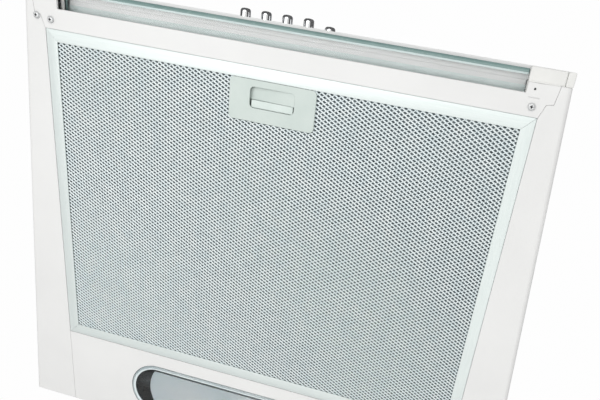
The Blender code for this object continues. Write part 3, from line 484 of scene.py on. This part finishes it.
def build_filter_frame():
    """Four lengths of channel, mitred at the corners, with a hairline gap at each mitre."""
    seam = 0.00009
    centre_x, centre_y = sum(FRAME_X) / 2, sum(FRAME_Y) / 2
    half = ((FRAME_X[1] - FRAME_X[0]) / 2, (FRAME_Y[1] - FRAME_Y[0]) / 2)
    solids, kinds = [], []
    for along, side in ((0, -1), (0, 1), (1, -1), (1, 1)):
        across = 1 - along
        rings = []
        for end in (-1, 1):
            ring = []
            for inward, height in rail_section():
                offset = [0.0, 0.0]
                offset[across] = side * (half[across] - inward)
                offset[along] = end * (half[along] - inward - seam)
                ring.append((centre_x + offset[0], centre_y + offset[1], FRAME_Z[0] + height))
            rings.append(ring)
        if (side > 0) == (along == 0):
            rings.reverse()
        solid = loft(rings)
        kinds += [along] * len(solid[1])
        solids.append(solid)
    points, faces = joined(*solids)
    piece("filter_frame_rails", points, faces, (FINISHES["aluminium"], ALUMINIUM_Y), "filter", ["filter_frame"],
          kinds, 40)


def strand_boxes(starts, ends, width, thickness, tilt):
    """Flat bars from starts to ends, turned about their length by tilt, as arrays of corners and quads."""
    along = ends - starts
    along /= np.linalg.norm(along, axis=1)[:, None]
    upright = np.array([0.0, 0.0, 1.0])
    level = np.cross(upright, along)
    wide = (cos(tilt) * level + sin(tilt) * upright) * width / 2
    deep = (cos(tilt) * upright - sin(tilt) * level) * thickness / 2
    corners = [wide + deep, wide - deep, -wide - deep, -wide + deep]
    points = np.stack([starts + corner for corner in corners] + [ends + corner for corner in corners], axis=1)
    quads = np.array([(0, 1, 5, 4), (1, 2, 6, 5), (2, 3, 7, 6), (3, 0, 4, 7)])
    faces = quads[None] + (np.arange(len(starts)) * 8)[:, None, None]
    return points.reshape(-1, 3), faces.reshape(-1, 4)


def expanded_mesh(name, x, y, z, pitch, width, node):
    """Expanded metal: a lattice of slit and stretched strands, whose two diagonals differ in tilt and width.
    It is cut away round the latch's pocket."""
    overrun = 0.06
    step_x, step_y = pitch[0] / 2, pitch[1] / 2
    columns = np.arange(int(np.ceil(x[0] / step_x)), int(np.floor(x[1] / step_x)))
    rows = np.arange(int(np.ceil(y[0] / step_y)), int(np.floor(y[1] / step_y)) + 1)
    column, row = (grid.ravel() for grid in np.meshgrid(columns, rows))
    in_pocket = (abs(column * step_x) < LATCH_POCKET_HALF_X + step_x) & (row * step_y < LATCH_POCKET_REAR_Y + step_y)
    knots = ((column + row) % 2 == 0) & ~in_pocket
    column, row = column[knots], row[knots]
    points, faces, count = [], [], 0
    for rise, tilt, share in ((1, radians(-18), 1.06), (-1, radians(36), 0.70)):
        kept = (row + rise >= rows[0]) & (row + rise <= rows[-1])
        starts = np.stack([column[kept] * step_x, row[kept] * step_y, np.full(kept.sum(), z)], axis=1)
        ends = starts + np.array([step_x, rise * step_y, 0.0])
        reach = overrun * (ends - starts)
        some_points, some_faces = strand_boxes(starts - reach, ends + reach, width * share, STRAND_THICK, tilt)
        points.append(some_points)
        faces.append(some_faces + count)
        count += len(some_points)
    points, faces = np.concatenate(points), np.concatenate(faces)
    mesh = bpy.data.meshes.new(name)
    mesh.vertices.add(len(points))
    mesh.vertices.foreach_set("co", points.astype(np.float32).ravel())
    mesh.loops.add(faces.size)
    mesh.loops.foreach_set("vertex_index", faces.astype(np.int32).ravel())
    mesh.polygons.add(len(faces))
    mesh.polygons.foreach_set("loop_start", np.arange(0, faces.size, 4, dtype=np.int32))
    mesh.update(calc_edges=True)
    mesh.validate()
    mesh.materials.append(FINISHES["mesh"].material)
    add_piece(name, mesh, "filter", [node])


def build_filter_meshes():
    """The front mesh in two halves, and the coarser back mesh. Their edges are hidden in the frame's channel."""
    hidden = 0.0030
    x = (FRAME_X[0] + RAIL_WIDTH - hidden, FRAME_X[1] - RAIL_WIDTH + hidden)
    y = (FRAME_Y[0] + RAIL_WIDTH - hidden, FRAME_Y[1] - RAIL_WIDTH + hidden)
    front_z, back_z = sum(span("filter_front_mesh", 2)) / 2, sum(span("filter_back_mesh", 2)) / 2
    pitch, coarser, back_strand_width = (0.00638, 0.00387), 1.6, 0.0016
    expanded_mesh("filter_face_left", (x[0], 0.0), y, front_z, pitch, STRAND_WIDTH, "filter_front_mesh")
    expanded_mesh("filter_face_right", (0.0, x[1]), y, front_z, pitch, STRAND_WIDTH, "filter_front_mesh")
    expanded_mesh("filter_back", x, y, back_z, (pitch[0] * coarser, pitch[1] * coarser), back_strand_width,
                  "filter_back_mesh")


def build_spring():
    """The latch's compression spring, with its end turns wound close."""
    x, y, z = spans("latch_spring")
    centre_x, centre_z = sum(x) / 2, sum(z) / 2
    turns, steps, sides, wire_radius = 6, 24, 8, 0.0003
    radius, length = (x[1] - x[0]) / 2 - wire_radius, y[1] - y[0] - 2 * wire_radius
    close = 2.2 * wire_radius
    rings = []
    for step in range(turns * steps + 1):
        angle = 2 * pi * step / steps
        along = np.interp(step / steps, (0, 1, turns - 1, turns), (0, close, length - close, length))
        ring = []
        for side in range(sides):
            turn = 2 * pi * side / sides
            reach = radius + wire_radius * cos(turn)
            ring.append((centre_x + reach * cos(angle), y[0] + wire_radius + along + wire_radius * sin(turn),
                         centre_z + reach * sin(angle)))
        rings.append(ring)
    points, faces = loft(rings)
    coil = piece("latch_coil", points, faces, (FINISHES["zinc_steel"],), "filter", ["latch_spring"])
    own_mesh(coil)


# ---- the glass visor -----------------------------------------------------------------------------------------------
def build_visor():
    """A glass plate whose front edge is ground round. The edge looks into the depth of the glass, so it is green."""
    x, y, z = spans("glass_visor")
    middle, half = (z[0] + z[1]) / 2, (z[1] - z[0]) / 2
    reach, arris, strip = 0.0034, 0.0005, 0.0016

    def section(at_x, inset):
        ring = []
        for step in range(13):
            angle = radians(-90 + 180 * step / 12)
            ring.append((at_x, y[0] + inset + reach * (1 - cos(angle)), middle + (half - inset) * sin(angle)))
        for back, up in ((arris, half), (0.0, half - arris), (0.0, arris - half), (arris, -half)):
            ring.append((at_x, y[1] - back - inset, middle + up * (1 - inset / half)))
        ring.append((at_x, y[0] + inset + reach + strip, middle + inset - half))
        return ring

    rings = [section(x[0], arris), section(x[0] + arris, 0.0), section(x[1] - arris, 0.0), section(x[1], arris)]
    points, faces = loft([list(reversed(ring)) for ring in rings])
    clear, edge, ground_strip = range(3)
    kinds = []
    for face in faces:
        depths = [points[index][1] for index in face]
        behind_edge = min(depths) > y[0] + 0.9 * reach
        is_cap = len(face) == len(rings[0])
        if is_cap or not (behind_edge or max(depths) - min(depths) > reach):
            kinds.append(edge)
        elif behind_edge and max(depths) < y[0] + reach + strip + arris:
            kinds.append(ground_strip)
        else:
            kinds.append(clear)
    finishes = (FINISHES["glass"], GLASS_EDGE, GLASS_ARRIS)
    piece("visor_glass", points, faces, finishes, "visor", ["glass_visor"], kinds)


def build_guide():
    """The thin strip under the fascia's lip that steadies the glass, clear of the shoes that slide below it; its
    grey-green tone is painted shade under the lip.
    """
    x, low = span("glass_visor", 0), span("glass_shoe_left", 2)[1] + 0.0001
    fascia_front, thick, edge = span("front_fascia", 1)[0], 0.0002, 0.00008
    y = (fascia_front + 0.0163, fascia_front + 0.0219)
    points, faces = plate(x, y, 0.0004, rounded_levels(low, low + thick, edge, 2), 2)
    piece("visor_guide_painted_shade", points, faces, (GUIDE_PAINTED_SHADE,), "body", [])


# ---- the push-buttons and screws -----------------------------------------------------------------------------------
def build_button(number):
    """A chrome cap with a flat dome, a rounded edge and a fine groove near its root."""
    node = f"button_{number}"
    x, y, z = spans(node)
    radius, length = (x[1] - x[0]) / 2, y[1] - y[0]
    edge, rear_edge, dome, tip = 0.0027, 0.0003, 0.0002, 0.0004
    groove, groove_wide, groove_deep = 0.0120, 0.0010, 0.0002
    profile = [(tip, 0.0), (radius * 0.35, dome / 5)]
    for step in range(7):
        angle = radians(90 * step / 6)
        profile.append((radius - edge + edge * sin(angle), dome + edge * (1 - cos(angle))))
    profile += [(radius, groove), (radius - groove_deep, groove + groove_deep),
                (radius - groove_deep, groove + groove_wide - groove_deep), (radius, groove + groove_wide),
                (radius, length - rear_edge), (radius - rear_edge, length), (tip, length)]
    points, faces = turned(profile, (sum(x) / 2, y[0], sum(z) / 2), (0, 1, 0), 40)
    piece(f"push_button_cap_{number}", points, faces, (FINISHES["chrome"],), f"push_button_{number}", [node])


def cross_outline(arm, half_width, steps):
    """A cross in plan as (angle, radius) pairs, one for each of the steps round it."""
    points = []
    for step in range(steps):
        angle = 2 * pi * step / steps
        turn = (angle + pi / 4) % (pi / 2) - pi / 4      # from the middle of the nearest arm
        points.append((angle, min(arm / cos(turn), half_width / max(abs(sin(turn)), 0.0001))))
    return points


def build_screw(node):
    """A pan-head screw with a cross recess, driven upwards."""
    x, y, z = spans(node)
    centre_x, centre_y = sum(x) / 2, sum(y) / 2
    head, shank, top, steps = (x[1] - x[0]) / 2, 0.0018, z[1] - z[0], 24

    def level(outline_pairs, height):
        return [(centre_x + radius * cos(angle), centre_y + radius * sin(angle), z[0] + height)
                for angle, radius in outline_pairs]

    def ring(radius, height):
        return level([(2 * pi * step / steps, radius) for step in range(steps)], height)

    def cross(scale, height):
        pairs = cross_outline(0.0015, 0.00048, steps)
        return level([(angle, scale * radius) for angle, radius in pairs], height)

    rings = [ring(0.0002, 0.0017), cross(0.35, 0.0015), cross(0.95, 0.00022), cross(1.0, 0.0001),
             ring(0.52 * head, 0.0), ring(0.75 * head, 0.00022), ring(0.92 * head, 0.00075), ring(head, 0.0014),
             ring(head, 0.0020), ring(head - 0.0001, 0.0021), ring(shank, 0.0021), ring(shank, top - 0.0008),
             ring(shank * 0.5, top)]
    points, faces = loft([list(reversed(one)) for one in rings])
    # The faces inside the cross recess take the painted shade.
    steel, recess, recess_faces = 0, 1, 2 * steps
    kinds = [recess] * recess_faces + [steel] * (len(faces) - recess_faces)
    kinds[-2] = recess      # the recess's floor, which is the first cap
    piece(node + "_head", points, faces, (SCREW_STEEL, RECESS_PAINTED_SHADE), "body", [node], kinds, 35)


# ---- the lamp ------------------------------------------------------------------------------------------------------
def build_lens():
    """A clear moulded cover: a rounded rim that stands just proud of the panel, round a slightly sunken window."""
    flange = LENS_FLANGE
    low, flange_low, high = LENS_Z[0], LENS_Z[1] - 0.0013, LENS_Z[1]
    levels = [(low + 0.0006, flange + 0.0090), (low + 0.0006, flange + 0.0052), (low + 0.0004, flange + 0.0040),
              (low, flange + 0.0028), (low, flange + 0.0014), (low + 0.0001, flange + 0.0008),
              (low + 0.0004, flange + 0.0003), (low + 0.0008, flange), (flange_low, flange), (flange_low, 0.0),
              (high, 0.0), (high, flange + 0.0022), (flange_low + 0.0002, flange + 0.0036),
              (low + 0.0022, flange + 0.0060), (low + 0.0022, flange + 0.0090)]
    points, faces = plate(LENS_X, LENS_Y, LENS_RADIUS, levels, 16)
    piece("lamp_cover", points, faces, (FINISHES["lens"],), "body", ["lamp_lens"], sharp=50)


def build_bezel():
    """The half-round rim of the lamp cover, opaque and paler than the clear cover itself: a painted highlight along
    the rim.
    """
    low, high = LENS_Z[0] + 0.00005, LENS_Z[0] + 0.0016
    centre, half, rise = LENS_FLANGE + 0.0030, 0.0022, 0.0007
    levels = [(high, centre - half)]
    for step in range(9):
        angle = radians(180 - 180 * step / 8)
        levels.append((low + rise * (1 - sin(angle)), centre + half * cos(angle)))
    levels.append((high, centre + half))
    rings = [[(*point, height) for point in outline(LENS_X, LENS_Y, LENS_RADIUS, inset, 16)]
             for height, inset in levels]
    points, faces = loft(rings, capped=False)
    piece("lamp_bezel_painted_highlight", points, faces, (BEZEL_PAINTED_HIGHLIGHT,), "body", [], sharp=60)


def build_diffuser():
    """The frosted sheet that hides the bulbs from below; its ends are shallow arcs."""
    end, clear, sweep = 0.0215, 0.0116, 0.046
    x = (LENS_X[0] + LENS_FLANGE + end, LENS_X[1] - LENS_FLANGE - end)
    middle, half = sum(LENS_Y) / 2, LENS_RADIUS - LENS_FLANGE - clear
    low, thick, edge = span("bulb_left", 2)[0] - 0.0026, 0.0014, 0.0003
    arc = []
    for step in range(17):
        across = half * (step / 8 - 1)
        arc.append((sweep - (sweep ** 2 - across ** 2) ** 0.5, across))
    rings = []
    for height, inset in ((low, edge), (low + edge, 0.0), (low + thick - edge, 0.0), (low + thick, edge)):
        share = 1 - inset / half
        right = [(x[1] - inset - bow, middle + across * share, height) for bow, across in arc]
        left = [(x[0] + inset + bow, middle + across * share, height) for bow, across in reversed(arc)]
        rings.append(right + left)
    points, faces = loft(rings)
    piece("lamp_diffuser", points, faces, (DIFFUSER,), "body", [])


# ---- the end caps and the joints' seals ----------------------------------------------------------------------------
def build_end_cap(side):
    """The moulded cap that closes the fascia's end, with softened corners and a shallow groove down its front."""
    node = "end_cap_" + side
    x, y, z = spans(node)
    groove, deep, corner, edge = z[0] + 0.016, 0.0004, 0.0012, 0.0008
    levels = rounded_levels(z[0], z[1], edge)
    middle = [(groove - 2 * deep, 0.0), (groove - deep, deep), (groove + deep, deep), (groove + 2 * deep, 0.0)]
    half = len(levels) // 2
    points, faces = plate(x, y, corner, levels[:half] + middle + levels[half:])
    piece(node + "_moulding", points, faces, (FINISHES["white_plastic"],), "body", [node])


def build_joint_seals():
    """Thin white beads that lie sunk in the joints between the front cross panel, its neighbours and the end caps,
    and the strips that close the gaps beside the glass."""
    (_, panel_front, _), (panel_end, _, _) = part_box("front_cross_panel")
    block_x, block_rear = span("corner_block_right", 0), span("corner_block_right", 1)[1]
    cap_x, cap_top = span("end_cap_right", 0), span("end_cap_right", 2)[1]
    glass_end, lip_rear = span("glass_visor", 0)[1], span("front_fascia", 1)[1]
    wing_x, step_x, step_y = panel_end - 0.0030, 0.2460, panel_front + 0.0159
    gap, half_bead, bead_low, bead_high = 0.0003, 0.00009, BASE_Z + 0.0003, BASE_Z + 0.0013
    near, far = gap / 2 - half_bead, gap / 2 + half_bead
    # the cross panel's edge along the side panel, with the direction in y of the gap beyond it
    panel_edge = ((wing_x, panel_front, 0), (wing_x - 0.0020, step_y - 0.0010, 1), (step_x, step_y, 1),
                  (FRAME_X[1] + gap, FRAME_Y[0] - gap, 1))
    # x, y and height above the underside
    bars = (
        # between the corner block and the cross panel
        ((block_x[0] + 0.0002, wing_x), (block_rear - 0.0006, panel_front - 0.0001), (0.0008, 0.0026)),
        # between the corner block and the side panel
        ((wing_x + gap, cap_x[1] - 0.0008), (block_rear - 0.0004, block_rear + 0.00025), (0.0009, 0.0026)),
        # between the corner block and the end cap
        ((block_x[1] + 0.00005, cap_x[0] - 0.00005), (block_rear - 0.0105, block_rear - 0.0003),
         (0.0016, cap_top - BASE_Z - 0.0010)),
        # beside the glass
        ((glass_end + 0.00015, glass_end + 0.0030), (block_rear + 0.0001, lip_rear + 0.0060), (0.0082, 0.0097)),
    )
    solids = []
    for side in (-1, 1):
        rings = [[(side * (x + out), y + out * gap_y, z)
                  for out, z in ((near, bead_low), (far, bead_low), (far, bead_high), (near, bead_high))]
                 for x, y, gap_y in panel_edge]
        solids.append(loft(rings if side > 0 else rings[::-1]))
        for x, y, heights in bars:
            x = sorted(side * edge for edge in x)
            solids.append(plate(x, y, 0.00004, [(BASE_Z + height, 0.0) for height in heights], 1))
    points, faces = joined(*solids)
    piece("joint_seals", points, faces, (FINISHES["white_plastic"],), "body", [])


# ---- the studio ----------------------------------------------------------------------------------------------------
HOOD_MIDDLE = (0.0, -0.1, -0.1)


def build_camera():
    data = bpy.data.cameras.new("camera")
    data.lens = 32.5
    data.shift_x, data.shift_y = -0.1245, 0.1256
    data.clip_start, data.clip_end = 0.01, 50
    camera = add_object("camera", data)
    camera.location = (0.2064, -0.3470, -0.6305)
    camera.rotation_euler = (radians(158.216), radians(-12.941), radians(-9.062))
    bpy.context.scene.camera = camera


def area_light(name, place, size, power):
    """A lamp that faces the hood's middle and that the camera doesn't see."""
    data = bpy.data.lights.new(name, "AREA")
    data.shape = "RECTANGLE"
    data.size, data.size_y = size
    data.energy = power
    light = add_object(name, data)
    light.location = place
    light.rotation_euler = (Vector(HOOD_MIDDLE) - Vector(place)).to_track_quat("-Z", "Y").to_euler()
    light.visible_camera = False


def build_world():
    """A white studio: bright overhead and dimmer round the horizon."""
    world = bpy.data.worlds.new("studio")
    world.use_nodes = True
    nodes, links = world.node_tree.nodes, world.node_tree.links
    background = nodes["Background"]
    direction = nodes.new("ShaderNodeTexCoord")
    split = nodes.new("ShaderNodeSeparateXYZ")
    links.new(direction.outputs["Generated"], split.inputs["Vector"])
    level = nodes.new("ShaderNodeMapRange")
    for socket, value in (("From Min", 0.05), ("From Max", 0.5), ("To Min", 0.55), ("To Max", 0.99)):
        level.inputs[socket].default_value = value
    links.new(split.outputs["Z"], level.inputs["Value"])
    links.new(level.outputs["Result"], background.inputs["Color"])
    background.inputs["Strength"].default_value = 1.0
    bpy.context.scene.world = world


def build_flag():
    """A dark band round the studio that only reflections see, so that chrome has something dark to show."""
    radius, low, high, steps = 1.3, -1.42, 2.2, 48
    mesh = bpy.data.meshes.new("flag")
    rings = [[(radius * cos(2 * pi * step / steps), radius * sin(2 * pi * step / steps), z) for step in range(steps)]
             for z in (low, high)]
    points, faces = loft(rings)
    caps = 2
    mesh.from_pydata(points, [], faces[:-caps])
    finish = Finish("dark_felt", srgb(98, 98, 99), roughness=0.9)
    finish.tint(finish.noise(0.02), srgb(92, 92, 93), srgb(104, 104, 105))
    mesh.materials.append(finish.material)
    flag = add_object("flag", mesh)
    for ray in ("camera", "diffuse", "transmission", "shadow", "volume_scatter"):
        setattr(flag, "visible_" + ray, False)


def build_floor():
    mesh = bpy.data.meshes.new("floor")
    half, z = 8.0, -1.75
    mesh.from_pydata([(-half, -half, z), (half, -half, z), (half, half, z), (-half, half, z)], [], [(0, 1, 2, 3)])
    finish = Finish("studio_floor", srgb(235, 235, 233), roughness=0.8)
    finish.tint(finish.noise(0.5, detail=3), srgb(233, 233, 231), srgb(237, 237, 235))
    mesh.materials.append(finish.material)
    add_object("floor", mesh)


build_camera()
build_world()
build_floor()
build_flag()
area_light("key", (-0.4, -0.7, -1.45), (1.8, 0.9), 9)
area_light("fill", (0.9, 0.3, -1.5), (1.2, 1.2), 2)

build_filter_frame()
build_filter_meshes()
build_spring()
build_visor()
build_guide()
for number in range(1, 6):
    build_button(number)
for screw in ("cross_panel_screw_left", "cross_panel_screw_right", "strip_screw"):
    build_screw(screw)
build_lens()
build_bezel()
build_diffuser()
for side in ("left", "right"):
    build_end_cap(side)
build_joint_seals()

bpy.context.scene.view_settings.view_transform = "Standard"
